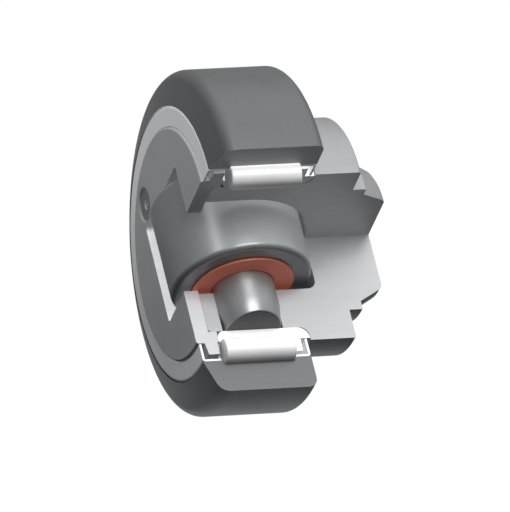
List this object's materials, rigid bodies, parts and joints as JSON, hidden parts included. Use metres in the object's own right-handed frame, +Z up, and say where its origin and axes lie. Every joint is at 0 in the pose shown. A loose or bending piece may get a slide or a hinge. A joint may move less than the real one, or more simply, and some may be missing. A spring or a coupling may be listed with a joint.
{
  "type": "combined radial and axial follower roller",
  "caption": "Weld-on combined follower: a thick outer ring on radial rollers, with a smaller cross roller at its front face for side load, shown cut open by a quarter.",
  "frame": {"origin": "halfway between the axial roller's foremost line and the spigot's end, on the main axis", "axes": "+Y along the main axis from the front disc towards the weld spigot; the cross pin and the axial roller lie along X; +Z up, so that the open quarter lies between +X and +Z"},
  "size_m": [0.0702, 0.044, 0.0702],
  "materials": {
    "ring_steel": "hardened steel, dark satin, finely turned",
    "stud_steel": "turned steel, satin",
    "bright_steel": "ground bearing steel, bright",
    "seal_sheet": "pressed bright sheet",
    "axial_steel": "hardened steel, ground, grey",
    "pin_steel": "ground pin steel, grey",
    "washer_bronze": "reddish bronze, matt",
    "nipple_steel": "dark plated steel"
  },
  "bodies": {
    "stud_assembly": {"stud": "stud_steel", "front_disc": "stud_steel", "inner_ring": "bright_steel", "axle_pin": "pin_steel", "grease_nipple_body": "nipple_steel", "nipple_spring": "nipple_steel"},
    "outer_ring_assembly": {"outer_ring": "ring_steel", "front_seal": "seal_sheet", "rear_seal": "seal_sheet"},
    "radial_roller_set": {"roller_01": "bright_steel", "roller_02": "bright_steel", "roller_03": "bright_steel", "roller_04": "bright_steel", "roller_05": "bright_steel", "roller_06": "bright_steel", "roller_07": "bright_steel", "roller_08": "bright_steel", "roller_09": "bright_steel", "roller_10": "bright_steel", "roller_11": "bright_steel", "roller_12": "bright_steel", "roller_13": "bright_steel", "roller_14": "bright_steel", "roller_15": "bright_steel", "roller_16": "bright_steel", "roller_17": "bright_steel", "roller_18": "bright_steel", "roller_19": "bright_steel", "roller_20": "bright_steel", "roller_21": "bright_steel", "roller_22": "bright_steel", "roller_23": "bright_steel"},
    "axial_roller": {"axial_roller": "axial_steel"},
    "needle_set": {"needle_01": "bright_steel", "needle_02": "bright_steel", "needle_03": "bright_steel", "needle_04": "bright_steel", "needle_05": "bright_steel", "needle_06": "bright_steel", "needle_07": "bright_steel", "needle_08": "bright_steel", "needle_09": "bright_steel", "needle_10": "bright_steel", "needle_11": "bright_steel", "needle_12": "bright_steel", "needle_13": "bright_steel", "needle_14": "bright_steel", "needle_15": "bright_steel", "needle_16": "bright_steel", "needle_17": "bright_steel", "needle_18": "bright_steel", "needle_19": "bright_steel"},
    "right_washer": {"thrust_washer_right": "washer_bronze"},
    "left_washer": {"thrust_washer_left": "washer_bronze"},
    "nipple_ball": {"nipple_ball": "bright_steel"}
  },
  "joints": [
    {"name": "outer_ring_spin", "type": "hinge", "parent": "stud_assembly", "child": "outer_ring_assembly", "pos_m": [0, 0, 0], "axis": [0, 1, 0], "continuous": true},
    {"name": "roller_set_orbit", "type": "hinge", "parent": "stud_assembly", "child": "radial_roller_set", "pos_m": [0, 0, 0], "axis": [0, 1, 0], "continuous": true},
    {"name": "axial_roller_spin", "type": "hinge", "parent": "stud_assembly", "child": "axial_roller", "pos_m": [0, -0.00745, 0], "axis": [1, 0, 0], "continuous": true},
    {"name": "needle_set_orbit", "type": "hinge", "parent": "stud_assembly", "child": "needle_set", "pos_m": [0, -0.00745, 0], "axis": [1, 0, 0], "continuous": true},
    {"name": "right_washer_spin", "type": "hinge", "parent": "stud_assembly", "child": "right_washer", "pos_m": [0, -0.00745, 0], "axis": [1, 0, 0], "continuous": true},
    {"name": "left_washer_spin", "type": "hinge", "parent": "stud_assembly", "child": "left_washer", "pos_m": [0, -0.00745, 0], "axis": [1, 0, 0], "continuous": true},
    {"name": "nipple_ball_press", "type": "slide", "parent": "stud_assembly", "child": "nipple_ball", "axis": [0, 1, 0], "range_m": [0, 0.0005], "stiffness_N_per_m": 5, "springref_m": -0.0005, "deforming": ["nipple_spring"]}
  ],
  "couplings": [
    {"joint": "roller_set_orbit", "follows": "outer_ring_spin", "ratio": 0.55057},
    {"joint": "needle_set_orbit", "follows": "axial_roller_spin", "ratio": 0.58138},
    {"joint": "right_washer_spin", "follows": "axial_roller_spin", "ratio": 0.5},
    {"joint": "left_washer_spin", "follows": "axial_roller_spin", "ratio": 0.5}
  ]
}
